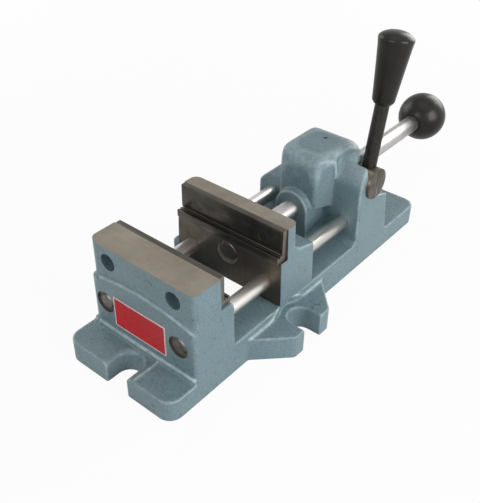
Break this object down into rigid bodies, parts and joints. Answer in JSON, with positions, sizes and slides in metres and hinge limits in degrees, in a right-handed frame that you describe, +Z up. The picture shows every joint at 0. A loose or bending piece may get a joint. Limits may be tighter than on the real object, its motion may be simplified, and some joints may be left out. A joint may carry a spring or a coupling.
{
  "type": "cam action vise",
  "caption": "Cam action vise with a painted cast base, a movable jaw on guide rods, ledged jaw plates, a ball-ended push rod and a cam lever that locks it.",
  "frame": {"origin": "underside of the base, below the middle of the fixed jaw's clamping face", "axes": "+Z up, +Y from the fixed jaw towards the ball knob, +X towards the lever's side"},
  "size_m": [0.159, 0.4589, 0.2041],
  "materials": {
    "paint": "blue-grey enamel over iron",
    "plate_steel": "dark oxide",
    "bright_steel": "ground and polished",
    "dark_steel": "turned, oiled",
    "black_steel": "black oxide",
    "black_plastic": "moulded",
    "insert_brass": "turned",
    "red_enamel": "enamel"
  },
  "bodies": {
    "base": {"base_casting": "paint", "fixed_jaw_plate": "plate_steel", "fixed_jaw_screws": "black_steel", "name_plate": "red_enamel", "guide_rod_left": "bright_steel", "guide_rod_right": "bright_steel", "guide_rod_set_screws": "black_steel", "cam_shaft_set_screw": "black_steel", "return_spring": "bright_steel"},
    "jaw_carriage": {"movable_jaw": "paint", "movable_jaw_plate": "plate_steel", "movable_jaw_screws": "black_steel", "actuating_rod": "bright_steel", "rod_front_ring": "black_steel", "rod_rear_ring": "black_steel", "ball_knob": "black_plastic", "ball_knob_insert": "insert_brass"},
    "lever": {"cam_shaft": "dark_steel", "lever_rod": "black_steel", "lever_grip": "black_plastic"},
    "lock": {"locking_plate_front": "dark_steel", "locking_plate_rear": "dark_steel"}
  },
  "joints": [
    {"name": "jaw_slide", "type": "slide", "parent": "base", "child": "jaw_carriage", "axis": [0, 1, 0], "range_m": [-0.0534, 0.0383]},
    {"name": "lever_swing", "type": "hinge", "parent": "base", "child": "lever", "pos_m": [0.044, 0.1908, 0.079], "axis": [-1, 0, 0], "range_deg": [-12, 78]},
    {"name": "lock_slide", "type": "slide", "parent": "base", "child": "lock", "axis": [0, -1, 0], "range_m": [-0.0006, 0.0029], "deforming": ["return_spring"]}
  ],
  "couplings": [
    {"joint": "lock_slide", "follows": "lever_swing", "m_per_rad": 0.00196}
  ]
}
